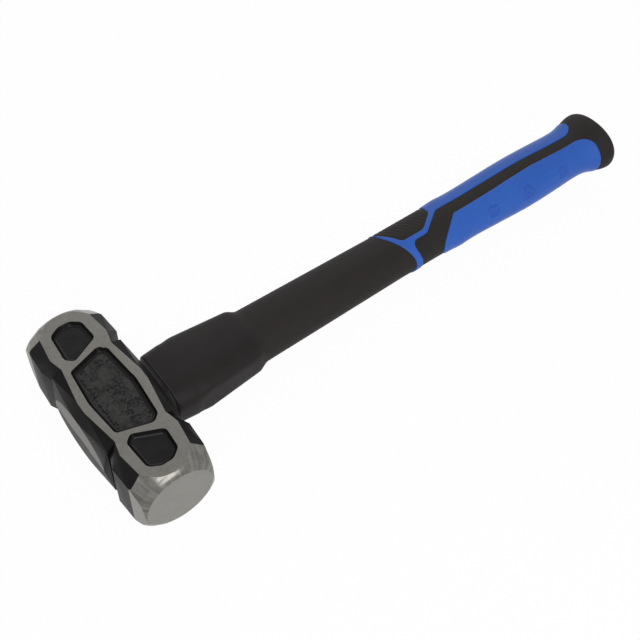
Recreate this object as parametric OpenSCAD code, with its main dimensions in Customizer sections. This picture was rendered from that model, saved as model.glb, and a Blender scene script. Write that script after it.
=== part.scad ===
// Double-faced lump hammer: forged head, potted core, black jacket and two soft grip inlays.
// Millimetres, +Z up. It lies on one cheek: +X runs along the head, +Y along the handle to the butt.

/* [Head] */
// Length of the head, striking face to striking face
head_l = 130.4; // [110:0.2:140]
// Thickness of the head, cheek to cheek
head_t = 50; // [40:0.5:56]
// Half width of the struck ends at the shoulder, along the handle
bell_w = 24.6; // [20:0.2:28]
// Distance from the middle of the head to the ground flats on the sides of the struck ends
side_x = 53.2; // [46:0.1:58]
// Half width of the struck ends where those flats begin
side_w = 23.8; // [20:0.1:26]
// Half width of the struck ends at the striking face
bell_face_w = 22.2; // [18:0.1:24]
// Half height of the flat sides of the struck ends
bell_side = 17.5; // [12:0.5:20]
// Radius of the flat striking face
face_r = 21; // [18:0.1:24]
// Radius where the ground rim of that face meets the cone behind it
rim_r = 25; // [22:0.1:27]
// Distance of that meeting from the plane of the face
rim_drop = 1.8; // [0.5:0.1:4]
// Slope of the ground cone, in degrees from the head's axis
edge_slope = 25.5; // [20:0.5:45]
// Distance from the middle of the head to the shoulder of a struck end
shoulder_x = 37.4; // [34:0.2:42]
// Distance from the middle of the head to the neck
neck_x = 28.6; // [24:0.2:32]
// Half width of the neck at half its height
neck_w = 20.5; // [18:0.5:24]
// Half width of the ground cheek at the shoulder
land_shoulder = 18.2; // [15:0.2:20]
// Half width of the ground cheek at the neck
land_neck = 16; // [13:0.2:18]
// Half width of the ground cheek at the eye
land_eye = 20; // [17:0.2:22]
// Half depth of the eye boss, along the handle
boss_y = 25; // [22:0.2:28]
// Half length of the flat end of the eye boss
boss_x = 26.5; // [24:0.5:32]
// Half height of the flat end of the eye boss
boss_z = 17.5; // [12:0.5:19]
// Half length of the ridge along the slopes of the eye boss
ridge_x = 29.5; // [26:0.5:31]
// Distance of that ridge from the head's axis, along the handle
ridge_y = 22.2; // [20:0.1:24]
// Half height of the boss at that ridge
ridge_z = 21.5; // [18:0.5:24]
// Depth of the cheek pockets
pocket_d = 2.6; // [1:0.1:4]

/* [Eye and core] */
// Half width of the eye
eye_a = 20; // [16:0.5:22]
// Half height of the eye
eye_b = 11; // [8:0.5:13]
// Half width of the handle core
core_a = 13.5; // [10:0.5:15]
// Half height of the handle core
core_b = 8.5; // [6:0.5:9]
// Thickness of steel left at the closed top of the eye
eye_floor = 9; // [6:0.5:14]
// Thickness of the resin bead between head and jacket
bead_t = 3; // [0.6:0.1:4]

/* [Handle] */
// Overall length, from the top of the head to the butt
total_l = 400; // [360:1:440]
// Half width of the guard at its widest
guard_a = 23; // [20:0.1:26]
// Half height of the guard at its widest
guard_b = 16.2; // [13:0.1:18]
// Half width of the shaft where it leaves the guard
shaft_a = 18.4; // [16:0.1:20]
// Half height of the shaft where it leaves the guard
shaft_b = 14; // [12:0.1:16]
// Half width of the shaft where it meets the grip
waist_a = 16.5; // [14:0.1:18]
// Half height of the shaft where it meets the grip
waist_b = 13; // [11:0.1:15]
// Swell of the grip on the thumb side
swell_thumb = 1.2; // [0:0.1:3]
// Swell of the grip on the finger side
swell_finger = 1.9; // [0:0.1:5]
// Swell of the grip in height
swell_z = 1.8; // [0:0.1:3]
// Flare of the butt on the thumb side
flare_thumb = 4.4; // [1:0.1:8]
// Flare of the butt on the finger side
flare_finger = 6.4; // [1:0.1:9]
// Flare of the butt in height
flare_z = 5; // [1:0.1:8]
// Lean of the butt's end towards the fingers, as a slope
butt_lean = 0.07; // [0:0.01:0.15]
// How far the soft inlays stand out of the jacket
inlay_proud = 0.6; // [0:0.1:1.5]
// Half width of the bed that the soft inlays are moulded on
bed_a = 14.6; // [14:0.1:15.5]
// Half height of the bed that the soft inlays are moulded on
bed_b = 11.2; // [9.5:0.1:12]

/* [Hidden] */
butt_y = total_l - boss_y;
end_y = butt_y - butt_lean * (waist_a + flare_finger - 3.6);
jacket_y = boss_y + bead_t;
core_y = eye_floor - boss_y + 3;
guard_y = 40;
guard_end = 85;
shaft_y = 92;
grip_y = 196;
swell_y = 306;
flare_y = end_y - 4;
sides = 28;
reach = 40;
arc_n = 3;
rim_n = 56;

function bump(y, mid, w) = exp(-pow((y - mid) / w, 2));
function mix(a, b, t) = a + (b - a) * min(1, max(0, t));
function sgn_pow(v, p) = sign(v) * pow(abs(v), p);

// One handle section is [thumb half width, finger half width, half height, squareness, side cut].
// Where the side cut is over 1 the section is drawn wider by that much and its sides are cut flat.
function guard_at(y) =
    let (
        t = (y - guard_y) / (guard_end - guard_y),
        tuck = y < guard_y ? (guard_y - y) * 0.09 : 0,
        a = mix(guard_a, 19.8, t) - tuck
    )
    [a, a, mix(guard_b, 14.9, t) - tuck / 2, 3, mix(1, 1.06, (y - 41) / 9) - mix(0, 0.035, (y - 50) / 34)];
function shaft_at(y) =
    let (t = (y - shaft_y) / (grip_y - shaft_y))
    [mix(shaft_a, waist_a, t), mix(shaft_a, waist_a, t), mix(shaft_b, waist_b, t), 2.2, 1];
function grip_at(y) =
    let (s = bump(y, swell_y, 36), f = bump(y, flare_y, 12.5), g = bump(y, 244, 7) * 0.6)
    [
        waist_a + swell_thumb * s + flare_thumb * f + g,
        waist_a + swell_finger * s + flare_finger * f + g,
        waist_b + swell_z * s + flare_z * f + g / 2,
        2.1,
        1
    ];
function end_at(y) =
    let (
        q = grip_at(flare_y),
        t = sqrt(max(0, 1 - pow((y - flare_y) / (end_y - flare_y), 2))),
        d = 3.6 * (1 - t)
    )
    [q[0] - d, q[1] - d, q[2] - d, q[3], 1];
function section_at(y) =
    y <= guard_end ? guard_at(y) : y < grip_y ? shaft_at(y) : y <= flare_y ? grip_at(y) : end_at(y);

stations = [
    jacket_y, 32, guard_y, 50, guard_end, shaft_y, grip_y, 216, 232, 244, 256, 276, 300, 320, 340,
    353, 362, flare_y, end_y - 1.4, end_y
];

// Corner rounding: each outline point is [x, y, radius].
function unit(v) = v / norm(v);
function corner(a, p, b, r) =
    let (
        u = unit([a[0] - p[0], a[1] - p[1]]),
        v = unit([b[0] - p[0], b[1] - p[1]]),
        half = acos(max(-1, min(1, u * v))) / 2,
        mid = unit(u + v),
        c = [p[0], p[1]] + mid * (r / sin(half)),
        s = u * (r / tan(half)) + [p[0], p[1]] - c,
        e = v * (r / tan(half)) + [p[0], p[1]] - c,
        a0 = atan2(s[1], s[0]),
        turn = atan2(s[0] * e[1] - s[1] * e[0], s * e)
    )
    [for (i = [0 : arc_n]) c + r * [cos(a0 + turn * i / arc_n), sin(a0 + turn * i / arc_n)]];
function rounded(pts) =
    let (n = len(pts))
    [
        for (i = [0 : n - 1])
        each pts[i][2] > 0
            ? corner(pts[(i + n - 1) % n], pts[i], pts[(i + 1) % n], pts[i][2])
            : [[pts[i][0], pts[i][1]]]
    ];

pocket_end = [
    [33.2, -11.5, 3.5], [29.2, -7, 3], [37.2, 10.6, 3.5], [51, 9.6, 4.5],
    [55.4, 4, 6], [55.4, -3.4, 6], [51.8, -10.2, 4.5]
];
pocket_mid = [
    [0, 14.7, 30], [26.4, 12.4, 4.5], [30.4, 8, 4], [24.2, -12.9, 2.5],
    [0, -15.2, 30], [-24.2, -12.9, 2.5], [-30.4, 8, 4], [-26.4, 12.4, 4.5]
];
thumb_outline = [
    [-reach, 192, 0], [-9, 193.4, 30], [6, 201, 30], [17, 206.6, 0], [reach, 207, 0],
    [reach, 212.2, 0], [17, 211.6, 0], [13.4, 209.4, 6], [9.4, 209.3, 2.5], [6.8, 211.6, 2.5],
    [6.8, 221.3, 7], [-4.3, 237.3, 3], [-4.1, 306, 0], [-3.2, 332, 0], [-3.2, 358.3, 10], [-reach, 358.3, 0]
];
thumb_window = [
    [-reach, 193.9, 0], [-11.5, 193.6, 10], [3.3, 204.3, 4], [3.3, 221, 7], [-5, 232.4, 4],
    [-12, 233.4, 8], [-reach, 243, 0]
];
finger_outline = [
    [reach, 226, 0], [17.4, 227.4, 0], [4.4, 244.9, 3.5], [4.2, 280, 0], [3.5, 310, 0],
    [4.1, 334, 0], [4.1, 360.4, 12], [21, 362.3, 0], [reach, 364, 0]
];

module stadium(a, b) {
    square([2 * (a - b), 2 * b], center = true);
    translate([a - b, 0]) circle(b);
    translate([b - a, 0]) circle(b);
}

// A flat outline in X and Z, pushed along Y from one station to another.
module along(y0, y1) {
    translate([0, y1, 0]) rotate([90, 0, 0]) linear_extrude(y1 - y0) children();
}

function ring(y, grow) =
    let (q = section_at(y), lean = butt_lean * min(1, max(0, (y - 344) / 24)))
    [
        for (i = [0 : sides - 1])
        let (
            c = cos(360 * i / sides),
            s = sin(360 * i / sides),
            wide = max(-1, min(1, q[4] * sgn_pow(c, 2 / q[3]))),
            x = ((c > 0 ? q[1] : q[0]) + grow) * wide
        )
        [
            x,
            y + lean * x,
            (q[2] + grow) * sgn_pow(s, 2 / q[3])
        ]
    ];

// The outside of the handle: rings of points at the stations, joined by triangles.
module handle_skin(grow) {
    n = len(stations);
    polyhedron([for (y = stations) each ring(y, grow)], concat(
        [[for (i = [0 : sides - 1]) i]],
        [[for (i = [0 : sides - 1]) n * sides - 1 - i]],
        [
            for (k = [0 : n - 2], i = [0 : sides - 1])
            let (a = k * sides + i, b = k * sides + (i + 1) % sides)
            each [[a, a + sides, b], [b, a + sides, b + sides]]
        ]
    ));
}

module inlay_bed() {
    along(150, butt_y - 6) polygon([
        for (i = [0 : 27]) [bed_a * cos(360 * (i + 0.5) / 28), bed_b * sin(360 * (i + 0.5) / 28)]
    ]);
}

// A flat outline seen from above, pushed through the handle.
module over_plan() {
    translate([0, 0, -reach]) linear_extrude(2 * reach) children();
}

module thumb_plan() {
    difference() {
        polygon(rounded(thumb_outline));
        polygon(rounded(thumb_window));
    }
}

module finger_plan() {
    polygon(rounded(finger_outline));
}

// The turned ends: rings of points around the head's axis, from the middle out to the striking face.
module end_solid() {
    rim_x = head_l / 2 - rim_drop;
    rims = [[34, 0], [34, rim_x - (34 - rim_r) / tan(edge_slope)], [rim_r, rim_x], [face_r, head_l / 2]];
    n = len(rims);
    hull() polyhedron([
        for (q = rims, i = [0 : rim_n - 1])
        [q[1], q[0] * sin(360 * i / rim_n), q[0] * cos(360 * i / rim_n)]
    ], [
        for (k = [0 : n - 2], i = [0 : rim_n - 1])
        [k * rim_n + i, k * rim_n + rim_n + i, k * rim_n + (i + 1) % rim_n]
    ]);
}

module bell() {
    far = head_l / 2 + 4;
    far_w = bell_face_w - 4 * (side_w - bell_face_w) / (head_l / 2 - side_x);
    hull() {
        linear_extrude(head_t, center = true) polygon([
            [far, -13.9], [far, 13.9], [shoulder_x, land_shoulder], [shoulder_x, -land_shoulder]
        ]);
        linear_extrude(2 * bell_side, center = true) polygon([
            [far, -far_w], [far, far_w], [side_x, side_w],
            [shoulder_x + 1, bell_w], [shoulder_x + 1, -bell_w], [side_x, -side_w]
        ]);
    }
}

module neck() {
    hull() {
        translate([shoulder_x, -land_shoulder, -head_t / 2]) cube([0.4, 2 * land_shoulder, head_t]);
        translate([shoulder_x + 1, -bell_w, -bell_side]) cube([0.1, 2 * bell_w, 2 * bell_side]);
        translate([neck_x - 0.4, -land_neck, -head_t / 2]) cube([0.4, 2 * land_neck, head_t]);
        translate([neck_x - 0.6, -neck_w, -15]) cube([0.4, 2 * neck_w, 30]);
    }
}

module boss() {
    hull() {
        linear_extrude(head_t, center = true) polygon([
            [neck_x, land_neck], [4, land_eye], [-4, land_eye], [-neck_x, land_neck],
            [-neck_x, -land_neck], [-4, -land_eye], [4, -land_eye], [neck_x, -land_neck]
        ]);
        cube([2 * ridge_x, 2 * ridge_y, 2 * ridge_z], center = true);
        along(-boss_y, boss_y) polygon([for (i = [0 : 35]) [boss_x * cos(10 * i), boss_z * sin(10 * i)]]);
    }
}

module half_blank() {
    intersection() {
        union() {
            bell();
            neck();
        }
        end_solid();
    }
}

module end_pocket() {
    translate([0, 0, head_t / 2 - pocket_d]) linear_extrude(10) polygon(rounded(pocket_end));
}

module pockets() {
    translate([0, 0, head_t / 2 - pocket_d]) linear_extrude(10) polygon(rounded(pocket_mid));
    end_pocket();
    mirror([1, 0, 0]) end_pocket();
}

module place() {
    translate([0, -(butt_y - boss_y) / 2, head_t / 2]) children();
}

module hammer_head() {
    color([0.30, 0.30, 0.29]) place() difference() {
        union() {
            boss();
            half_blank();
            mirror([1, 0, 0]) half_blank();
        }
        pockets();
        mirror([0, 0, 1]) pockets();
        along(eye_floor - boss_y, boss_y + 5) stadium(eye_a, eye_b);
    }
}

module eye_resin() {
    color([0.12, 0.12, 0.12]) place() difference() {
        union() {
            along(eye_floor - boss_y, boss_y) stadium(eye_a, eye_b);
            along(boss_y, jacket_y) stadium(22, 15.2);
        }
        along(core_y, jacket_y + 1) stadium(core_a, core_b);
    }
}

module handle_core() {
    color([0.20, 0.20, 0.19]) place() along(core_y, butt_y - 13) stadium(core_a, core_b);
}

module handle_jacket() {
    color([0.17, 0.165, 0.16]) place() difference() {
        handle_skin(0);
        along(0, butt_y - 13) stadium(core_a, core_b);
        difference() {
            over_plan() thumb_plan();
            inlay_bed();
        }
        difference() {
            over_plan() finger_plan();
            inlay_bed();
        }
    }
}

module thumb_grip() {
    color([0.20, 0.36, 0.68]) place() intersection() {
        handle_skin(inlay_proud);
        difference() {
            over_plan() thumb_plan();
            inlay_bed();
        }
    }
}

module finger_grip() {
    color([0.20, 0.36, 0.68]) place() intersection() {
        handle_skin(inlay_proud);
        difference() {
            over_plan() finger_plan();
            inlay_bed();
        }
    }
}

hammer_head();
eye_resin();
handle_core();
handle_jacket();
thumb_grip();
finger_grip();
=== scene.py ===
import math

import bmesh
import bpy
import numpy as np
from mathutils import Matrix, Vector
from mathutils.geometry import delaunay_2d_cdt


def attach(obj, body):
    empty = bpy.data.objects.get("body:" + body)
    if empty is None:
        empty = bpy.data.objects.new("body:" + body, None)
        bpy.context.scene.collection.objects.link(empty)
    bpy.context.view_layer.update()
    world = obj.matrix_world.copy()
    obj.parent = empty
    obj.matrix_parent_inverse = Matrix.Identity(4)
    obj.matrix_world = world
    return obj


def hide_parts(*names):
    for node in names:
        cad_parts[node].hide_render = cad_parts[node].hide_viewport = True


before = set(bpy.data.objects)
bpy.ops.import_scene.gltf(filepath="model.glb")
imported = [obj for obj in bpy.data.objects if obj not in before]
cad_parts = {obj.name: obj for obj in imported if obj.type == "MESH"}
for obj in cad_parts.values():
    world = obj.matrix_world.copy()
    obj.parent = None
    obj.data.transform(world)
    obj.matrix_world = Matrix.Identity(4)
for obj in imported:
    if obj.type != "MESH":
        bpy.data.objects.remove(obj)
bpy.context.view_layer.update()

# HAMMER HEAD
# A double-faced lump head, drop forged in one block of steel, with an eye boss between the struck ends.
# It is dipped in black paint, then ground bright on the cheeks, boss ends, side flats and turned faces. The
# lower part of the top boss end stays black as painted shade.

# Millimetres from the middle of the eye: x to the right face, y along the handle, z up.
FACE_X, CHEEK_Z, BOSS_Y = 65.2, 25.0, 25.0
# The turned end: radius of the face and of its rim, where the rim lies, its rounding and the cone behind it.
FACE_R, RIM_R, RIM_X, RIM_ROUND, EDGE_SLOPE = 21.0, 25.0, 63.4, 9.0, math.radians(25.5)
LATHE_R, LATHE_POINTS = 36.0, 160
# The ground flats at the four corners of that end: their angle from the side and their depth.
CORNER_AT, CORNER_CUT = math.radians(50), 0.45
# Half widths of the bright land at face, shoulder, neck and middle, and half the length of its straight run.
LAND_FACE, LAND_SHOULDER, LAND_NECK, LAND_MID, LAND_STRAIGHT = 13.9, 18.2, 16.0, 20.0, 4.0
# Half widths of the struck end and of the neck, and how high their sides stand.
SHOULDER_X, BELL_W, BELL_FACE_W, BELL_SIDE = 37.4, 24.6, 22.2, 17.5
SIDE_X, SIDE_W, OVERRUN = 53.2, 23.8, 4.0
NECK_X, NECK_W, NECK_SIDE = 28.6, 20.5, 15.0
# The eye boss: the corner of its ridge, the oval of its ends, the slit on the top one, and the height below
# which that end stays black as painted shade.
RIDGE = (29.5, 22.2, 21.5)
OVAL_A, OVAL_B, OVAL_POINTS = 26.5, 17.5, 72
SLIT_X, SLIT_Z, SLIT_DEPTH = (-2.6, 10.4), (-2.6, -1.8), 0.5
PAINTED_SHADE_Z = -2.0
# The eye: half width and half height of the slot, its blind end and a place past its mouth.
EYE_A, EYE_B, EYE_FLOOR, EYE_MOUTH = 20.0, 11.0, -16.0, 30.0
# Depth of the cheek pockets, and their corners, each with its radius.
POCKET_DEPTH = 2.6
POCKET_END = [
    (33.2, -11.5, 3.5), (29.2, -7, 3), (37.2, 10.6, 3.5), (51, 9.6, 4.5),
    (55.4, 4, 6), (55.4, -3.4, 6), (51.8, -10.2, 4.5),
]
POCKET_MID = [
    (0, 14.7, 30), (26.4, 12.4, 4.5), (30.4, 8, 4), (24.2, -12.9, 2.5),
    (0, -15.2, 30), (-24.2, -12.9, 2.5), (-30.4, 8, 4), (-26.4, 12.4, 4.5),
]
PAINT, CHEEK, TURNED, POCKET, FLOOR, FACE, SHADED_WALL = range(7)
# From those millimetres to metres in the part's own frame.
EYE_IN_PART = (0, -175, 25)
TO_PART = Matrix.Scale(0.001, 4) @ Matrix.Translation(EYE_IN_PART)


class Wire:
    """One output in a finish's node tree. Sums on it add Math nodes."""

    def __init__(self, finish, socket):
        self.finish, self.socket = finish, socket

    def maths(self, operation, a, b):
        return self.finish.add("ShaderNodeMath", {"operation": operation}, {0: a, 1: b})

    def __add__(self, other):
        return self.maths("ADD", self, other)

    def __sub__(self, other):
        return self.maths("SUBTRACT", self, other)

    def __rsub__(self, other):
        return self.maths("SUBTRACT", other, self)

    def __mul__(self, other):
        return self.maths("MULTIPLY", self, other)

    def __truediv__(self, other):
        return self.maths("DIVIDE", self, other)

    def __rtruediv__(self, other):
        return self.maths("DIVIDE", other, self)

    def __pow__(self, other):
        return self.maths("POWER", self, other)

    def __rpow__(self, other):
        return self.maths("POWER", other, self)

    __radd__, __rmul__ = __add__, __mul__

    def between(self, low, high):
        """0 below low, 1 above high, and a soft ramp from one to the other."""
        return self.finish.add(
            "ShaderNodeMapRange",
            {"interpolation_type": "SMOOTHSTEP"},
            {"Value": self, "From Min": low, "From Max": high},
        )


class Finish:
    """The node tree of a material, whose colour, gloss and relief vary over the surface, or of a room."""

    def __init__(self, name, shelf=bpy.data.materials):
        self.block = shelf.new(name)
        self.block.use_nodes = True
        self.tree = self.block.node_tree
        self.tree.nodes.clear()

    def add(self, kind, settings=None, sockets=None, out=0):
        """A node of that kind, with its settings, then the values or links of its sockets."""
        node = self.tree.nodes.new(kind)
        for key, value in (settings or {}).items():
            setattr(node, key, value)
        for key, value in (sockets or {}).items():
            if isinstance(value, Wire):
                self.tree.links.new(value.socket, node.inputs[key])
            else:
                node.inputs[key].default_value = value
        return Wire(self, node.outputs[out]) if len(node.outputs) else None

    def where(self):
        """The place on the piece, in millimetres."""
        at = self.add("ShaderNodeTexCoord", out=3)
        return self.add("ShaderNodeVectorMath", {"operation": "SCALE"}, {0: at, "Scale": 1000.0})

    def grain(self, size, stretch=(1, 1, 1), detail=2.0, at=None):
        """Noise with marks of about that size in millimetres, drawn out along the axes by stretch."""
        step = tuple(1 / (size * s) for s in stretch)
        spot = self.add(
            "ShaderNodeVectorMath", {"operation": "MULTIPLY"}, {0: at or self.where(), 1: step}
        )
        return self.add("ShaderNodeTexNoise", {}, {"Vector": spot, "Scale": 1.0, "Detail": detail})

    def mix(self, share, a, b):
        """Colour a, changing to b as share goes from 0 to 1."""
        return self.add("ShaderNodeMix", {"data_type": "RGBA"}, {0: share, 6: a, 7: b}, out=2)

    def relief(self, height, depth):
        """A normal roughened by height, whose full range is depth millimetres."""
        return self.add(
            "ShaderNodeBump", {}, {"Height": height, "Strength": 1.0, "Distance": depth / 1000}
        )

    def lay(self, **sockets):
        """Ends the tree with a Principled surface. Keys are its sockets' names, in lower case."""
        names = {key: key.replace("_", " ").title().replace("Ior", "IOR") for key in sockets}
        skin = self.add("ShaderNodeBsdfPrincipled", {}, {names[key]: sockets[key] for key in sockets})
        self.add("ShaderNodeOutputMaterial", {}, {"Surface": skin})
        return self.block


def grey(level, warm=0.0):
    """A grey, a little yellowish where warm is above 0."""
    return (level * (1 + 0.4 * warm), level, level * (1 - warm), 1)


def black_paint():
    finish = Finish("head_black_paint")
    peel = finish.grain(1.1, detail=3)
    cloud = finish.grain(14, detail=3)
    return finish.lay(
        base_color=finish.mix(cloud.between(0.3, 0.7), grey(0.0055, 0.03), grey(0.0085, 0.04)),
        roughness=0.36 + 0.14 * cloud,
        normal=finish.relief(peel, 0.03),
        specular_ior_level=0.08,
    )


def pocket_paint(name, level, shine):
    finish = Finish(name)
    run = finish.grain(2.4, detail=3)
    cloud = finish.grain(8, detail=3)
    return finish.lay(
        base_color=finish.mix(cloud.between(0.3, 0.7), grey(0.8 * level), grey(1.2 * level, 0.03)),
        roughness=0.17 + 0.10 * cloud,
        normal=finish.relief(run, 0.06),
        specular_ior_level=shine,
    )


def pocket_floor():
    finish = Finish("head_pocket_scale")
    fleck = finish.grain(0.85, (1.0, 1.7, 1.0), 3)
    patch = finish.grain(8, detail=2)
    worn = finish.grain(3.2, detail=4)
    chips = fleck.between(0.50, 0.57) * patch.between(0.38, 0.54)
    ground = finish.mix(worn.between(0.3, 0.7), grey(0.021, 0.03), grey(0.040, 0.04))
    return finish.lay(
        base_color=finish.mix(chips, ground, grey(0.003)),
        roughness=0.40 + 0.2 * worn,
        normal=finish.relief(0.3 * worn - chips, 0.22),
        specular_ior_level=0.12,
    )


def ground_cheek():
    finish = Finish("head_ground_cheek")
    grit = finish.grain(0.55, (2.2, 1, 1), 3)
    mottle = finish.grain(2.6, detail=4)
    cloud = finish.grain(12, detail=3)
    tone = 0.45 * grit + 0.35 * mottle + 0.2 * cloud
    return finish.lay(
        base_color=finish.mix(tone.between(0.34, 0.66), grey(0.112, 0.09), grey(0.150, 0.09)),
        metallic=0.85,
        roughness=0.40 + 0.14 * mottle,
        normal=finish.relief(grit + 0.5 * mottle, 0.02),
    )


def turned_end():
    finish = Finish("head_turned_end")
    mean_radius = 24
    at = finish.add("ShaderNodeVectorMath", {"operation": "SUBTRACT"}, {0: finish.where(), 1: EYE_IN_PART})
    x, y, z = (finish.add("ShaderNodeSeparateXYZ", {}, {0: at}, out=i) for i in range(3))
    radius = (y ** 2 + z ** 2) ** 0.5
    rings = finish.grain(0.4, detail=3, at=finish.add("ShaderNodeCombineXYZ", {}, {0: x, 1: radius}))
    spoke = finish.add(
        "ShaderNodeCombineXYZ", {}, {1: mean_radius * y / radius, 2: mean_radius * z / radius}
    )
    drag = finish.grain(2.6, detail=4, at=spoke)
    smear = finish.grain(5, detail=4)
    tone = 0.2 * rings + 0.5 * drag + 0.3 * smear
    return finish.lay(
        base_color=finish.mix(tone.between(0.36, 0.64), grey(0.10, 0.08), grey(0.21, 0.08)),
        metallic=0.9,
        roughness=0.17 + 0.12 * smear,
        normal=finish.relief(0.6 * rings + drag, 0.03),
    )


def struck_face():
    finish = Finish("head_struck_face")
    grit = finish.grain(0.5, detail=3)
    cloud = finish.grain(11, detail=3)
    tone = 0.5 * grit + 0.5 * cloud
    return finish.lay(
        base_color=finish.mix(tone.between(0.35, 0.65), grey(0.228, 0.08), grey(0.262, 0.08)),
        metallic=0.85,
        roughness=0.42 + 0.1 * cloud,
        normal=finish.relief(grit, 0.012),
    )


def rounded(outline, steps=8, closed=True):
    """The corners of an outline [x, y, radius] turned into arcs."""
    points, n = [], len(outline)
    for i, (x, y, r) in enumerate(outline):
        p = np.array((x, y), float)
        if r == 0 or (not closed and i in (0, n - 1)):
            points.append(p)
            continue
        u, v = (np.array(outline[j % n][:2], float) - p for j in (i - 1, i + 1))
        u, v = u / np.linalg.norm(u), v / np.linalg.norm(v)
        half = math.acos(max(-1, min(1, u @ v))) / 2
        mid = (u + v) / np.linalg.norm(u + v)
        c = p + mid * r / math.sin(half)
        s, e = p + u * r / math.tan(half) - c, p + v * r / math.tan(half) - c
        turn = math.atan2(s[0] * e[1] - s[1] * e[0], s @ e)
        for k in range(steps + 1):
            cos, sin = math.cos(turn * k / steps), math.sin(turn * k / steps)
            points.append(c + (s[0] * cos - s[1] * sin, s[0] * sin + s[1] * cos))
    return np.array(points)


def put(name, points, faces, finishes=(), kinds=None):
    """A mesh object from points in millimetres. It is moved to the part's frame by set_down."""
    mesh = bpy.data.meshes.new(name)
    mesh.from_pydata([tuple(map(float, p)) for p in points], [], faces)
    for finish in finishes:
        mesh.materials.append(finish)
    if kinds is not None:
        mesh.polygons.foreach_set("material_index", kinds)
    shape = bmesh.new()
    shape.from_mesh(mesh)
    bmesh.ops.recalc_face_normals(shape, faces=shape.faces)
    shape.to_mesh(mesh)
    shape.free()
    piece = bpy.data.objects.new(name, mesh)
    bpy.context.scene.collection.objects.link(piece)
    return piece


def billet(points):
    """A convex block of steel through the given corners."""
    shape = bmesh.new()
    for p in points:
        shape.verts.new(p)
    hull = bmesh.ops.convex_hull(shape, input=shape.verts)
    spare = {v for v in hull["geom_interior"] + hull["geom_unused"] if isinstance(v, bmesh.types.BMVert)}
    bmesh.ops.delete(shape, geom=list(spare), context="VERTS")
    bmesh.ops.dissolve_limit(shape, angle_limit=0.002, verts=shape.verts, edges=shape.edges)
    shape.verts.index_update()
    corners = [v.co.copy() for v in shape.verts]
    faces = [[v.index for v in f.verts] for f in shape.faces]
    shape.free()
    return put("billet", corners, faces, head_finishes, [PAINT] * len(faces))


def smooth(piece, fold):
    """Soft shading, but for folds sharper than that many degrees."""
    piece.data.polygons.foreach_set("use_smooth", [True] * len(piece.data.polygons))
    piece.data.set_sharp_from_angle(angle=math.radians(fold))


def settle(piece):
    """Makes a piece's modifiers part of its mesh."""
    mesh = bpy.data.meshes.new_from_object(piece.evaluated_get(bpy.context.evaluated_depsgraph_get()))
    piece.modifiers.clear()
    piece.data = mesh


def strike(piece, die, how):
    """Joins a die to a piece, keeps what they share, or cuts it away."""
    step = piece.modifiers.new(how, "BOOLEAN")
    step.operation, step.solver, step.object = how, "EXACT", die
    settle(piece)
    bpy.data.objects.remove(die)


def stack(rings, finishes, kinds, caps):
    """A closed skin over rings of one count. kinds and caps name the finish of its bands and its ends."""
    n = len(rings[0])
    faces, marks = [], []
    for k, kind in enumerate(kinds):
        for i in range(n):
            j = (i + 1) % n
            faces.append((k * n + i, k * n + j, (k + 1) * n + j, (k + 1) * n + i))
            marks.append(kind)
    faces += [tuple(range(n)), tuple(range((len(rings) - 1) * n, len(rings) * n))]
    marks += list(caps)
    return put("stack", np.concatenate(rings), faces, finishes, marks)


def drawn_in(loop, inset):
    """A convex loop of points moved inwards."""
    before, after = np.roll(loop, 1, 0), np.roll(loop, -1, 0)
    tangent = after - before
    normal = np.stack([-tangent[:, 1], tangent[:, 0]], 1)
    normal /= np.linalg.norm(normal, axis=1, keepdims=True)
    side = np.sign(np.sum((loop.mean(0) - loop) * normal, 1, keepdims=True))
    return loop + side * normal * inset


def pocket_die(outline, side, floor):
    """A die for one cheek pocket: drafted walls that roll into a flat floor."""
    loop = rounded(outline)
    height_and_inset = [
        (2, 0), (0, 0), (-0.7, 0.35), (-1.4, 0.85), (-1.95, 1.4),
        (-2.3, 1.9), (-2.52, 2.4), (-POCKET_DEPTH, 2.9),
    ]
    rings = [
        np.c_[drawn_in(loop, inset), np.full(len(loop), side * (CHEEK_Z + z))]
        for z, inset in height_and_inset
    ]
    # The upper walls take a darker, duller copy of the pocket paint: painted shade for the recess.
    return stack(rings, head_finishes, [SHADED_WALL] * 4 + [POCKET] * 3, (SHADED_WALL, floor))


def stadium(a, b, count=32):
    """A slot outline with round ends, half width a and half height b."""
    turn = np.linspace(-math.pi / 2, math.pi / 2, count)
    right = np.c_[a - b + b * np.cos(turn), b * np.sin(turn)]
    return np.concatenate([right, -right])


def both(*points):
    """Points with every sign of y and z."""
    return [(x, sy * y, sz * z) for x, y, z in points for sy in (1, -1) for sz in (1, -1)]


# The last finish is the pocket paint darkened and dulled for the walls: painted shade in the pockets.
head_finishes = [
    black_paint(), ground_cheek(), turned_end(), pocket_paint("head_pocket_paint", 0.0085, 0.11),
    pocket_floor(), struck_face(), pocket_paint("head_pocket_wall_painted_shade", 0.0045, 0.05),
]
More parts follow.
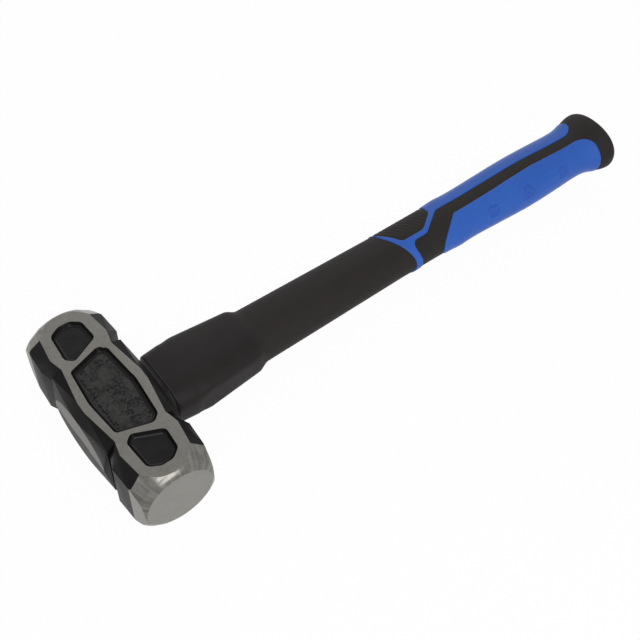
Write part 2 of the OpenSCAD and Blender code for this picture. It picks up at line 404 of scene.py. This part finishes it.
# The struck ends are forged past the faces, then turned back. Blocks overlap a little where they join.
far = FACE_X + OVERRUN
far_w = BELL_FACE_W - OVERRUN * (SIDE_W - BELL_FACE_W) / (FACE_X - SIDE_X)
shoulder = [(SHOULDER_X, LAND_SHOULDER, CHEEK_Z), (SHOULDER_X + 1, BELL_W, BELL_SIDE)]
bell = both(
    (far, LAND_FACE, CHEEK_Z), shoulder[0], (far, far_w, BELL_SIDE), (SIDE_X, SIDE_W, BELL_SIDE), shoulder[1]
)
neck = both(*shoulder, (NECK_X - 0.4, LAND_NECK, CHEEK_Z), (NECK_X - 0.6, NECK_W, NECK_SIDE))
turns = np.linspace(0, 2 * math.pi, OVAL_POINTS, False)
eye_end = np.c_[OVAL_A * np.cos(turns), OVAL_B * np.sin(turns)]
boss = both(
    (NECK_X, LAND_NECK, CHEEK_Z), (-NECK_X, LAND_NECK, CHEEK_Z),
    (LAND_STRAIGHT, LAND_MID, CHEEK_Z), (-LAND_STRAIGHT, LAND_MID, CHEEK_Z),
    RIDGE, (-RIDGE[0], *RIDGE[1:]),
)
boss += [(x, s * BOSS_Y, z) for x, z in eye_end for s in (1, -1)]

head = billet(boss)
for s in (1, -1):
    for block in (bell, neck):
        strike(head, billet([(s * x, y, z) for x, y, z in block]), "UNION")
back_x = RIM_X - (LATHE_R - RIM_R) / math.tan(EDGE_SLOPE)
cone = [(FACE_X - 0.1, FACE_R + 0.15, 0), (RIM_X, RIM_R, RIM_ROUND), (back_x, LATHE_R, 0)]
profile = [(FACE_X, FACE_R - 0.16), (FACE_X - 0.03, FACE_R), *rounded(cone, closed=False)]
profile = [(-x, r) for x, r in profile] + [(x, r) for x, r in profile[::-1]]
turns = np.linspace(0, 2 * math.pi, LATHE_POINTS, False)
off_corner = np.abs(np.arcsin(np.abs(np.sin(turns))) - CORNER_AT)


def turned_ring(x, r):
    """One ring of a struck end, round but for a shallow ground flat at each of its four corners."""
    cut = CORNER_CUT * np.clip((r - FACE_R) / (RIM_R - FACE_R), 0, 1)
    reach = np.minimum(r, (r - cut) / np.cos(off_corner))
    return np.c_[np.full(LATHE_POINTS, x), reach * np.cos(turns), reach * np.sin(turns)]


lathe = stack(
    [turned_ring(x, r) for x, r in profile], head_finishes, [TURNED] * (len(profile) - 1), (FACE, FACE)
)
strike(head, lathe, "INTERSECT")
for side in (1, -1):
    for mirror in (1, -1):
        strike(head, pocket_die([(mirror * x, y, r) for x, y, r in POCKET_END], side, POCKET), "DIFFERENCE")
    strike(head, pocket_die(POCKET_MID, side, FLOOR), "DIFFERENCE")


def slot_ring(a, b, y):
    """A slot outline set across the handle's axis at y."""
    outline = stadium(a, b)
    return np.c_[outline[:, 0], np.full(len(outline), y), outline[:, 1]]


eye = [slot_ring(EYE_A, EYE_B, y) for y in (EYE_FLOOR, EYE_MOUTH)]
slit_corners = [(SLIT_X[i], SLIT_Z[k]) for i, k in ((0, 0), (1, 0), (1, 1), (0, 1))]
slit = [np.array([(x, y, z) for x, z in slit_corners]) for y in (SLIT_DEPTH - BOSS_Y, -1 - BOSS_Y)]
for die in (eye, slit):
    strike(head, stack(die, head_finishes, [PAINT], (PAINT, PAINT)), "DIFFERENCE")

# The rims of the pockets and the ends of the painted sides are broken a little. The other edges stay crisp.
BREAK = {(CHEEK, SHADED_WALL): 0.35, (PAINT, TURNED): 0.4}
BROKEN_FROM, CRISP_FROM = 16, 25
HAIR = 0.02
shape = bmesh.new()
shape.from_mesh(head.data)
bmesh.ops.remove_doubles(shape, verts=shape.verts, dist=0.002)
top_end = [f for f in shape.faces if f.calc_center_median().y < -BOSS_Y + HAIR]
top_end += list({e for f in top_end for e in f.edges}) + list({v for f in top_end for v in f.verts})
bmesh.ops.bisect_plane(shape, geom=top_end, plane_co=(0, 0, PAINTED_SHADE_Z), plane_no=(0, 0, 1))
for f in shape.faces:
    middle, out = f.calc_center_median(), f.normal
    flat_cheek = abs(middle.z) > CHEEK_Z - HAIR and abs(out.z) > 0.99
    flat_boss = abs(middle.y) > BOSS_Y - HAIR and abs(out.y) > 0.99
    # Below that height the top boss end keeps the black paint: painted shade for its lower part, which faces
    # down.
    painted_shade_end = middle.y < 0 and middle.z <= PAINTED_SHADE_Z
    side_flat = SIDE_X - 0.01 < abs(middle.x) < FACE_X - 0.01 and abs(out.y) > 0.95
    if f.material_index == PAINT and (flat_cheek or (flat_boss and not painted_shade_end)):
        f.material_index = CHEEK
    elif f.material_index == PAINT and side_flat:
        f.material_index = FACE
bmesh.ops.dissolve_limit(shape, angle_limit=0.004, verts=shape.verts, edges=shape.edges, delimit={"MATERIAL"})
weight = shape.edges.layers.float.new("bevel_weight_edge")
for e in shape.edges:
    if len(e.link_faces) == 2 and e.calc_face_angle() > math.radians(BROKEN_FROM):
        pair = tuple(sorted(f.material_index for f in e.link_faces))
        e[weight] = BREAK.get(pair, 0.0)
shape.to_mesh(head.data)
shape.free()
step = head.modifiers.new("edge_break", "BEVEL")
step.width, step.segments, step.limit_method = 1.0, 3, "WEIGHT"
step.use_clamp_overlap = False
settle(head)
smooth(head, CRISP_FROM)
step = head.modifiers.new("even_shading", "WEIGHTED_NORMAL")
step.keep_sharp = True
settle(head)


def set_down(piece, name, node):
    """Names a finished piece, moves it to the part's frame, hangs it on the root body and hides the node that
    it stands in for.
    """
    piece.name = piece.data.name = name
    piece.data.transform(TO_PART)
    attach(piece, "root")
    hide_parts(node)


set_down(head, "head_forging", "hammer_head")

# POTTING RESIN
# The handle is potted into the blind eye with a dark two-part resin.
# What fills the joint on the handle side stays as a narrow strip, set back between head and jacket.


def potting_resin():
    finish = Finish("potting_resin")
    swirl = finish.grain(3.0, (2, 1, 1), 4)
    speck = finish.grain(0.5, detail=2)
    return finish.lay(
        base_color=finish.mix(swirl.between(0.35, 0.65), grey(0.006, 0.02), grey(0.012, 0.02)),
        roughness=0.3 + 0.25 * swirl,
        normal=finish.relief(swirl + 0.3 * speck, 0.06),
        specular_ior_level=0.12,
    )


# Half height and place of each ring. The slot is wider than high by more in the eye than outside it.
WIDER_IN_EYE, WIDER_OUTSIDE, RESIN_FOLD = 9, 6.8, 50
resin_profile = [
    (4.0, EYE_FLOOR + 0.03), (10.4, EYE_FLOOR + 0.03), (10.95, EYE_FLOOR + 0.6), (10.95, 25.03),
    (14.9, 25.03), (15.15, 25.3), (15.0, 26.2), (14.8, 26.8), (15.0, 27.4), (15.1, 27.97), (10, 27.97),
]
resin = stack(
    [slot_ring(b + (WIDER_IN_EYE if b < EYE_B + 1 else WIDER_OUTSIDE), b, y) for b, y in resin_profile],
    [potting_resin()], [0] * (len(resin_profile) - 1), (0, 0),
)
smooth(resin, RESIN_FOLD)
set_down(resin, "eye_potting", "eye_resin")

# HANDLE CORE
# A straight glass-fibre rod of slot section that runs from the eye to the butt.
# It is pulled through a die with its strands lengthwise, and the jacket is moulded round it.

finish = Finish("fibre_rod")
strand = finish.grain(0.4, (1, 60, 1), 3)
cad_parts["handle_core"].material_slots[0].material = finish.lay(
    base_color=finish.mix(strand.between(0.3, 0.7), grey(0.03, 0.1), grey(0.09, 0.1)),
    roughness=0.4 + 0.2 * strand,
    normal=finish.relief(strand, 0.03),
)

# JACKET
# The black moulding round the rod: a squared guard below the head, an oval shaft, the grip and a flared butt.
# It is injected in hard nylon with a fine spark-eroded grain, smoother on the guard and polished at its lip.

# Places along the handle, with the length of a change that begins there.
JACKET_Y, GUARD_Y, GUARD_RUN, STEP_Y, STEP_RUN = 28.0, 40.0, 45.0, 84.4, 8.0
SHAFT_Y, GRIP_Y, BUTT_Y = 92.0, 196.0, 375.0
# Half width and half height at the start of the guard and of the shaft, each with what it loses on the way.
GUARD_A, GUARD_B, GUARD_TUCK = (23.0, 3.2), (16.2, 1.3), 0.09
SHAFT_A, SHAFT_B = (18.4, 1.9), (14.0, 1.0)
SQUARENESS = (3.0, 0.85)
# The guard's flat sides: the share of its bulge that they cut off, and how hard their edges are.
FLAT, FLAT_Y, FLAT_RUN = 0.06, 41.0, 9.0
FLAT_LOSS, FLAT_LOSS_Y, FLAT_LOSS_RUN, FLAT_END_RUN, FLAT_EDGE = 0.035, 50.0, 34.0, 6.0, 60
# The palm swell, the flare of the butt and the ripple behind the thumb: place, spread and rise.
SWELL_Y, SWELL_SPREAD, SWELL_THUMB, SWELL_FINGER, SWELL_HIGH = 306.0, 36.0, 1.2, 1.9, 1.8
FLARE_SPREAD, FLARE_THUMB, FLARE_FINGER, FLARE_HIGH = 12.5, 4.4, 6.4, 5.0
RIPPLE_Y, RIPPLE_SPREAD, RIPPLE = 244.0, 7.0, 0.6
# The butt is rounded off, and its end leans from one side to the other.
ROUND_OFF, ROUND_RUN = 3.6, 4.0
LEAN, LEAN_Y, LEAN_RUN = 0.07, 344.0, 24.0
END_Y = BUTT_Y - LEAN * (SHAFT_A[0] - SHAFT_A[1] + FLARE_FINGER - ROUND_OFF)
FLARE_Y = END_Y - ROUND_RUN
JACKET_POINTS, SOFT_FOLD = 192, 50


def eased(t):
    """A soft ramp from 0 to 1."""
    t = np.clip(t, 0, 1)
    return t * t * (3 - 2 * t)


def handle_sizes(y):
    """Half width on the thumb and the finger side, half height and squareness of the handle at y."""
    t = np.clip((y - GUARD_Y) / GUARD_RUN, 0, 1)
    tuck = np.clip(GUARD_Y - y, 0, None) * GUARD_TUCK
    guard_a = GUARD_A[0] - GUARD_A[1] * t - tuck
    guard_b = GUARD_B[0] - GUARD_B[1] * t - tuck / 2
    t = np.clip((y - SHAFT_Y) / (GRIP_Y - SHAFT_Y), 0, 1)
    shaft_a = SHAFT_A[0] - SHAFT_A[1] * t
    shaft_b = SHAFT_B[0] - SHAFT_B[1] * t
    step = eased((y - STEP_Y) / STEP_RUN)
    swell = np.exp(-(((y - SWELL_Y) / SWELL_SPREAD) ** 2))
    flare = np.exp(-(((np.minimum(y, FLARE_Y) - FLARE_Y) / FLARE_SPREAD) ** 2))
    ripple = RIPPLE * np.exp(-(((y - RIPPLE_Y) / RIPPLE_SPREAD) ** 2))
    past = np.clip(y - FLARE_Y, 0, ROUND_RUN) / ROUND_RUN
    round_off = ROUND_OFF * (1 - np.sqrt(np.clip(1 - past ** 2, 0, 1)))
    a = guard_a + (shaft_a - guard_a) * step
    b = guard_b + (shaft_b - guard_b) * step
    thumb = a + SWELL_THUMB * swell + FLARE_THUMB * flare + ripple - round_off
    finger = a + SWELL_FINGER * swell + FLARE_FINGER * flare + ripple - round_off
    high = b + SWELL_HIGH * swell + FLARE_HIGH * flare + ripple / 2 - round_off
    return thumb, finger, high, SQUARENESS[0] - SQUARENESS[1] * step


def handle_reach(turn, y, grow=0.0):
    """Distance from the handle's axis to its surface, at an angle from the finger side."""
    thumb, finger, b, n = handle_sizes(y)
    c, s = np.cos(turn), np.abs(np.sin(turn))
    a = np.where(c > 0, finger, thumb) + grow
    b = b + grow
    flat = FLAT * eased((y - FLAT_Y) / FLAT_RUN)
    flat = flat - FLAT_LOSS * np.clip((y - FLAT_LOSS_Y) / FLAT_LOSS_RUN, 0, 1)
    flat = flat * (1 - eased((y - STEP_Y) / FLAT_END_RUN))
    oval = ((np.abs(c) / (a * (1 + flat))) ** n + (s / b) ** n) ** (-1 / n)
    cut = (oval ** -FLAT_EDGE + (np.abs(c) / a) ** FLAT_EDGE) ** (-1 / FLAT_EDGE)
    return oval + (cut - oval) * np.clip(flat / 0.01, 0, 1)


def lean_at(y):
    """How much further down the handle a point lies for each millimetre towards the fingers."""
    return LEAN * np.clip((y - LEAN_Y) / LEAN_RUN, 0, 1)


def handle_point(turn, y, grow=0.0):
    """Points on the handle's surface, moved outwards by grow."""
    reach = handle_reach(turn, y, grow)
    x = reach * np.cos(turn)
    return np.stack([x, y + lean_at(y) * x, reach * np.sin(turn)], -1)


def moulded_nylon():
    finish = Finish("jacket_nylon")
    spark = finish.grain(0.28, detail=2)
    cloud = finish.grain(22, detail=3)
    scuff = finish.grain(1.6, (1, 7, 1), 3)
    tone = (0.7 * cloud + 0.3 * scuff).between(0.3, 0.7)
    along = finish.add("ShaderNodeSeparateXYZ", {}, {0: finish.where()}, out=1)
    # Both ramps run down the handle in the part's own frame.
    coarse = along.between(-91, -84)
    lip = 1 - along.between(-146.5, -146.0)
    dark, pale = (0.0117, 0.0100, 0.0096, 1), (0.0211, 0.0181, 0.0175, 1)
    return finish.lay(
        base_color=finish.mix(0.6 * coarse + 0.4 * tone, dark, pale),
        roughness=0.44 + 0.12 * tone + 0.08 * coarse,
        normal=finish.relief((0.5 + 0.5 * coarse) * spark + 0.25 * scuff, 0.035),
        specular_ior_level=0.12,
        coat_weight=lip,
        coat_roughness=0.25,
    )


nylon = moulded_nylon()
# Rows lie close where the section changes fast. The mouth is rolled in, and the butt's end is a little domed.
rows = np.unique(np.concatenate([
    np.arange(JACKET_Y + 1.0, 97, 0.75), np.arange(97, GRIP_Y, 3), np.arange(GRIP_Y, 340, 2),
    np.arange(340, FLARE_Y, 0.9), FLARE_Y + ROUND_RUN * np.sin(np.linspace(0, math.pi / 2, 9)),
]))
around = np.linspace(0, 2 * math.pi, JACKET_POINTS, False)
mouth = ((0, 6), (0, 1.0), (0.08, 0.6), (0.3, 0.28), (0.6, 0.08))
dome = ((0.93, 0.0), (0.5, 0.25), (0.1, 0.35))
rings = [handle_point(around, np.full(JACKET_POINTS, JACKET_Y + y), -inset) for y, inset in mouth]
rings += [handle_point(around, np.full(JACKET_POINTS, y)) for y in rows]
last = handle_point(around, np.full(JACKET_POINTS, END_Y))
for shrink, rise in dome:
    ring = last * (shrink, 1, shrink)
    ring[:, 1] = END_Y + LEAN * ring[:, 0] + rise
    rings.append(ring)
jacket = stack(rings, [nylon], [0] * (len(rings) - 1), (0, 0))
smooth(jacket, SOFT_FOLD)
set_down(jacket, "jacket_moulding", "handle_jacket")

# THUMB PAD
# The part of the jacket that the thumb presses: a pad framed by the soft ring and its branch.
# It is moulded with the jacket and has low slanted ribs.

WINDOW = [
    (-40, 193.9, 0), (-11.5, 193.6, 10), (3.3, 204.3, 4), (3.3, 221, 7), (-5, 232.4, 4),
    (-12, 233.4, 8), (-40, 243, 0),
]
RIB_PITCH, RIB_SLANT, RIB_HEIGHT, PAD_RISE = 3.4, 0.55, 0.28, 0.05
# Patches are laid out flat on this mean radius of the handle, and reach this far into the jacket.
SPREAD, SINK = 15.5, 1.0
# Spacing of a patch's points: along the joint of its halves, inwards from its edge, and in its fine places.
JOINT_STEP, RIM_INSETS, FINE_REACH, FINE_STEP = 0.8, (0.16, 0.36, 0.62), 4.4, 0.36


def plan_trace(outline, step=0.6):
    """An outline drawn on the handle from above, as points (spread angle, y) on its upper half."""
    corners = rounded(outline, 24, closed=False)
    fine = [corners[0]]
    for a, b in zip(corners, corners[1:]):
        count = max(1, int(np.linalg.norm(b - a) / 0.02))
        fine += list(a + (b - a) * np.linspace(0, 1, count + 1)[1:, None])
    fine = np.array(fine)
    x = fine[:, 0]
    y = fine[:, 1] - lean_at(fine[:, 1]) * x
    thumb, finger, _, _ = handle_sizes(y)
    inside = (x < finger) & (x > -thumb)
    first, last = np.flatnonzero(inside)[[0, -1]]
    x, y = x[first:last + 1], y[first:last + 1]
    low, high = np.zeros_like(x), np.full_like(x, math.pi)
    for _ in range(40):
        mid = (low + high) / 2
        right = handle_reach(mid, y) * np.cos(mid) > x
        low, high = np.where(right, mid, low), np.where(right, high, mid)
    turn = (low + high) / 2
    turn[0], turn[-1] = (0 if x[i] > 0 else math.pi for i in (0, -1))
    line = np.c_[SPREAD * turn, y]
    along = np.r_[0, np.cumsum(np.linalg.norm(np.diff(line, axis=0), axis=1))]
    stops = np.linspace(0, along[-1], max(2, int(along[-1] / step)) + 1)
    return np.c_[np.interp(stops, along, line[:, 0]), np.interp(stops, along, line[:, 1])]


def nearest(points, line):
    """Distance from each point to a line of closely spaced points."""
    gap = np.empty(len(points))
    for i in range(0, len(points), 400):
        gap[i:i + 400] = np.sqrt(((points[i:i + 400, None] - line[None]) ** 2).sum(2).min(1))
    return gap


def skin_patch(name, traces, finish, cell, height, fine=()):
    """A moulded patch on the handle's skin.

    traces are its free edges on the upper half, in order round the patch. Between them the edge runs along
    the side of the handle, where the lower half joins on as a mirror image. height gives the rise above the
    jacket, cell is the spacing of the points, and fine holds places (spread angle, y) that need closer ones.
    """
    loop = []
    for k, trace in enumerate(traces):
        loop.append(trace)
        start, end = trace[-1], traces[(k + 1) % len(traces)][0]
        count = max(1, int(np.linalg.norm(end - start) / JOINT_STEP))
        loop.append(start + (end - start) * np.linspace(0, 1, count + 1)[1:-1, None])
    loop = np.concatenate(loop)
    n = len(loop)
    area = np.sum(loop[:, 0] * np.roll(loop[:, 1], -1) - loop[:, 1] * np.roll(loop[:, 0], -1))
    edge = np.concatenate([
        t[:-1] + (t[1:] - t[:-1]) * share for t in traces for share in (0, 0.2, 0.4, 0.6, 0.8)
    ])
    rims = []
    for t in traces:
        tangent = np.gradient(t, axis=0)
        inward = np.c_[-tangent[:, 1], tangent[:, 0]] * np.sign(area)
        inward /= np.linalg.norm(inward, axis=1, keepdims=True)
        rims += [(t + inward * d)[1:-1] for d in RIM_INSETS]
    low, high = loop.min(0), loop.max(0)
    ys = np.arange(low[1], high[1], cell * 0.87)
    field = [
        (s + (k % 2) * cell / 2, y) for k, y in enumerate(ys) for s in np.arange(low[0], high[0] + cell, cell)
    ]
    field = np.array(field)
    for spot in fine:
        steps = np.arange(-FINE_REACH, FINE_REACH + 0.01, FINE_STEP)
        near = np.abs(field - spot).max(1) < FINE_REACH + 0.2
        field = np.concatenate([field[~near], [(spot[0] + a, spot[1] + b) for a in steps for b in steps]])
    field = field[nearest(field, edge) > RIM_INSETS[-1] + 0.4 * cell]
    rim_points = np.concatenate(rims)
    keep = nearest(rim_points, edge) > 0.11
    spots = np.concatenate([rim_points[keep], field])
    spots = spots[(spots[:, 0] > low[0] + 0.3) & (spots[:, 0] < high[0] - 0.3)]
    points = np.concatenate([loop, spots])
    result = delaunay_2d_cdt(
        [Vector(p) for p in points], [(i, (i + 1) % n) for i in range(n)], [list(range(n))], 1, 1e-5
    )
    flat = np.array([tuple(v) for v in result[0]])
    tris = [tuple(f) for f in result[2]]
    gap = nearest(flat, edge)
    turn = np.clip(flat[:, 0] / SPREAD, 0, math.pi)
    top = handle_point(turn, flat[:, 1], height(flat[:, 0], flat[:, 1], gap))
    bottom = handle_point(turn, flat[:, 1], -SINK)
    used = dict.fromkeys((a, b) for tri in tris for a, b in zip(tri, tri[1:] + tri[:1]))
    side = [(a, b) for a, b in used if (b, a) not in used]
    on_seam = (turn < 1e-6) | (turn > math.pi - 1e-6)
    side = [(a, b) for a, b in side if not (on_seam[a] and on_seam[b] and abs(turn[a] - turn[b]) < 1)]
    m = len(flat)
    half = tris + [tuple(m + i for i in tri[::-1]) for tri in tris]
    half += [(b, a, m + a, m + b) for a, b in side]
    faces = half + [tuple(2 * m + i for i in f[::-1]) for f in half]
    upper = np.concatenate([top, bottom])
    piece = put(name, np.concatenate([upper, upper * (1, 1, -1)]), faces, [finish])
    shape = bmesh.new()
    shape.from_mesh(piece.data)
    bmesh.ops.remove_doubles(shape, verts=shape.verts, dist=0.002)
    bmesh.ops.recalc_face_normals(shape, faces=shape.faces)
    shape.to_mesh(piece.data)
    shape.free()
    smooth(piece, SOFT_FOLD)
    return piece


def ribbed(s, y, gap):
    """Height of the pad: slanted ribs that fade out at its edge."""
    rib = np.abs((((y + RIB_SLANT * s) / RIB_PITCH) % 1) - 0.5) * 2
    return PAD_RISE + (RIB_HEIGHT * eased(rib * 1.6 - 0.3)) * eased((gap - 0.8) / 2.0)


pad = skin_patch("pad", [plan_trace(WINDOW)], nylon, 0.75, ribbed)
set_down(pad, "thumb_pad", "handle_jacket")

# THUMB-SIDE INLAY
# One blue soft moulding: a ring round the handle, a branch beside the thumb pad and a band down that side.
# It is overmoulded in rubber on the jacket and stands a little proud, with rolled edges.

RING = [(-40, 192, 0), (-9, 193.4, 30), (6, 201, 30), (17, 206.6, 0), (40, 207, 0)]
BRANCH_AND_BAND = [
    (40, 212.2, 0), (17, 211.6, 0), (13.4, 209.4, 6), (9.4, 209.3, 2.5), (6.8, 211.6, 2.5),
    (6.8, 221.3, 7), (-4.3, 237.3, 3), (-4.1, 306, 0), (-3.2, 332, 0), (-3.2, 358.3, 10), (-40, 358.3, 0),
]
INLAY_RISE = 0.6


def rolled_edge(gap, rise, radius=0.6):
    """Height of a patch that rolls over at its edge."""
    t = np.clip(1 - gap / radius, 0, 1)
    return rise - radius * 0.85 * (1 - np.sqrt(1 - t * t))


def soft_blue():
    finish = Finish("soft_blue_rubber")
    spark = finish.grain(0.32, detail=2)
    cloud = finish.grain(26, detail=3)
    tone = 0.75 * cloud + 0.25 * finish.grain(2.2, detail=3)
    dark, pale = (0.017, 0.090, 0.405, 1), (0.023, 0.104, 0.450, 1)
    return finish.lay(
        base_color=finish.mix(tone.between(0.3, 0.7), dark, pale),
        roughness=0.52 + 0.12 * tone,
        normal=finish.relief(spark, 0.03),
        specular_ior_level=0.28,
        sheen_weight=0.5,
        sheen_roughness=0.3,
    )


rubber = soft_blue()
thumb = skin_patch(
    "thumb", [plan_trace(RING), plan_trace(BRANCH_AND_BAND), plan_trace(WINDOW[::-1])],
    rubber, 1.3, lambda s, y, gap: rolled_edge(gap, INLAY_RISE),
)
set_down(thumb, "thumb_inlay", "thumb_grip")

# FINGER-SIDE INLAY
# The blue soft panel under the fingers, overmoulded with the thumb-side inlay in the same shot.
# Three small fields of fine pits and a thin line along them keep the hand from slipping.

PANEL = [
    (40, 226, 0), (17.4, 227.4, 0), (4.4, 244.9, 3.5), (4.2, 280, 0), (3.5, 310, 0),
    (4.1, 334, 0), (4.1, 360.4, 12), (21, 362.3, 0), (40, 364, 0),
]
# Middles of the pitted fields and points of the line, laid out flat as (spread angle, y).
FIELDS = [(7.3, 271), (7.3, 300), (6.5, 331.5)]
FIELD_HALF_S, FIELD_HALF_Y, FIELD_SQUARENESS = 3.7, 4.2, 5
PIT, PIT_DEPTH = 2.0, 0.55
LINE_DEPTH, LINE_WIDTH = 0.22, 0.6
LINE = np.array([
    (0.5, 246), (5.4, 247.8), (9.7, 251), (10.6, 254), (9.6, 258), (9.8, 264), (10.6, 279.5), (11.2, 292),
    (11, 299), (9.6, 306.5), (10.2, 313.8), (8.8, 323.8), (10.2, 331), (10.6, 340), (10, 350),
])


def panel_height(s, y, gap):
    """Height of the finger panel, less its pits and its line."""
    rise = rolled_edge(gap, INLAY_RISE)
    for mid_s, mid_y in FIELDS:
        along = (np.abs(y - mid_y) / FIELD_HALF_Y) ** FIELD_SQUARENESS
        across = (np.abs(s - mid_s) / FIELD_HALF_S) ** FIELD_SQUARENESS
        wave = np.cos(math.pi * (s + y) / PIT) * np.cos(math.pi * (s - y) / PIT)
        rise = rise - PIT_DEPTH * eased((1 - along - across) * 4) * eased((np.abs(wave) - 0.35) / 0.5)
    steps = [a + (b - a) * t for a, b in zip(LINE, LINE[1:]) for t in np.linspace(0, 1, 60)]
    return rise - LINE_DEPTH * (1 - eased(nearest(np.c_[s, y], np.array(steps)) / LINE_WIDTH))


finger = skin_patch("finger", [plan_trace(PANEL)], rubber, 0.7, panel_height, FIELDS)
set_down(finger, "finger_inlay", "finger_grip")

# FLOOR, LIGHT AND CAMERA
# A plain white table under a large soft lamp, in a white room, seen from above the right striking face.
# The room and the table show as white, and the table still takes the shadow.


def seen(finish):
    """1 for what the camera sees straight, mirrored or through glass, and 0 for light on the object."""
    camera, glossy, through = (finish.add("ShaderNodeLightPath", out=i) for i in (0, 3, 6))
    return finish.add("ShaderNodeClamp", {}, {0: camera + glossy + through})


# The table lies a hair below the part, so that the two share no plane. Sizes in millimetres.
TABLE_HALF, TABLE_Z, WHITENESS = 6000, -0.05, 0.97
finish = Finish("white_table")
matt = finish.add("ShaderNodeBsdfDiffuse", {}, {"Color": grey(0.82)})
glow = finish.add("ShaderNodeEmission", {}, {"Color": grey(1.0), "Strength": 1.0})
tabletop = finish.add("ShaderNodeMixShader", {}, {0: WHITENESS * seen(finish), 1: matt, 2: glow})
finish.add("ShaderNodeOutputMaterial", {}, {"Surface": tabletop})
corners = [(TABLE_HALF * x, TABLE_HALF * y, TABLE_Z) for x, y in ((-1, -1), (1, -1), (1, 1), (-1, 1))]
table = put("table", corners, [(0, 1, 2, 3)], [finish.block])
table.data.transform(Matrix.Scale(0.001, 4))

ROOM_LIGHT = 0.45
room = Finish("white_room", bpy.data.worlds)
strength = ROOM_LIGHT + (1 - ROOM_LIGHT) * seen(room)
sky = room.add("ShaderNodeBackground", {}, {"Color": grey(1.0), "Strength": strength})
room.add("ShaderNodeOutputWorld", {}, {"Surface": sky})
bpy.context.scene.world = room.block

# Name, place, diameter and power of each lamp, in metres and watts. All point at the middle of the part.
AIM = Vector((0, 0, 0.02))
lamps = (
    ("soft_box", (0.80, -0.38, 1.02), 0.80, 6.0),
    ("side_box", (1.10, -0.15, 0.40), 0.60, 3.5),
    ("fill_box", (-0.90, 0.50, 0.90), 0.90, 3.5),
)
for lamp_name, at, size, power in lamps:
    lamp = bpy.data.lights.new(lamp_name, "AREA")
    lamp.shape, lamp.size, lamp.energy = "DISK", size, power
    holder = bpy.data.objects.new(lamp_name, lamp)
    holder.location = at
    holder.rotation_euler = (AIM - Vector(at)).to_track_quat("-Z", "Y").to_euler()
    bpy.context.scene.collection.objects.link(holder)

# The camera's turn, its height angle and its tilt, then its place along its own axes in millimetres.
AZIMUTH, ELEVATION, ROLL = (math.radians(d) for d in (51.48, 53.95, 2.06))
DISTANCE, ASIDE, ABOVE = 681.07, 114.58, 53.52
back = Vector((
    math.sin(AZIMUTH) * math.cos(ELEVATION), -math.cos(AZIMUTH) * math.cos(ELEVATION), math.sin(ELEVATION)
))
level = Vector((math.cos(AZIMUTH), math.sin(AZIMUTH), 0))
upright = back.cross(level)
right = math.cos(ROLL) * level + math.sin(ROLL) * upright
up = math.cos(ROLL) * upright - math.sin(ROLL) * level
lens = bpy.data.cameras.new("camera")
lens.sensor_fit, lens.sensor_width, lens.lens = "HORIZONTAL", 36.0, 67.5
lens.clip_start, lens.clip_end = 0.01, 50
camera = bpy.data.objects.new("camera", lens)
pose = Matrix((right, up, back)).transposed().to_4x4()
pose.translation = TO_PART @ (right * ASIDE + up * ABOVE + back * DISTANCE)
camera.matrix_world = pose
bpy.context.scene.collection.objects.link(camera)
bpy.context.scene.camera = camera
bpy.context.scene.view_settings.view_transform = "Standard"

bpy.context.view_layer.update()
